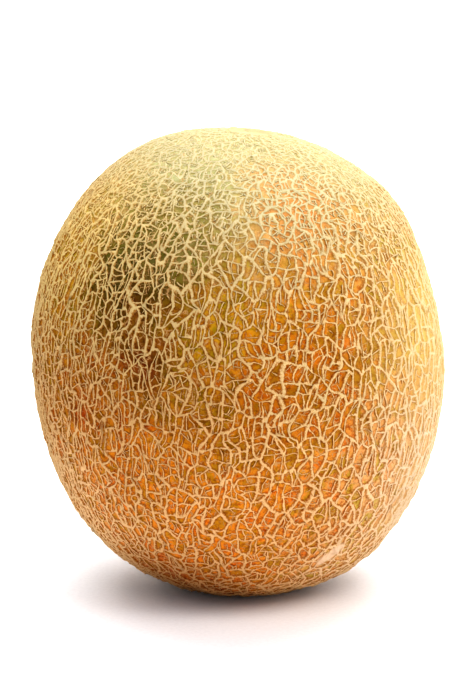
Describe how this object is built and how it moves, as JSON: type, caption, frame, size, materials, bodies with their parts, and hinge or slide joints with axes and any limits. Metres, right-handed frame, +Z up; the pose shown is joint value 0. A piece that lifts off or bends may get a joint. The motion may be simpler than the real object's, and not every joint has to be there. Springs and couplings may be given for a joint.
{
  "type": "cantaloupe melon",
  "caption": "Whole netted cantaloupe melon standing on its flattened blossom end, with a raised corky net and a stem scar at the crown.",
  "frame": {"origin": "under the middle of the fruit, in the plane of the flat spot that it rests on", "axes": "+Z up from the blossom end to the stem scar at the crown; the side seen first faces -Y, with +X to its right"},
  "size_m": [0.152, 0.1502, 0.1697],
  "materials": {
    "netted_rind": "ripe orange and olive skin under a cream cork net, satin to matt"
  },
  "bodies": {
    "root": {"melon": "netted_rind"}
  },
  "joints": []
}
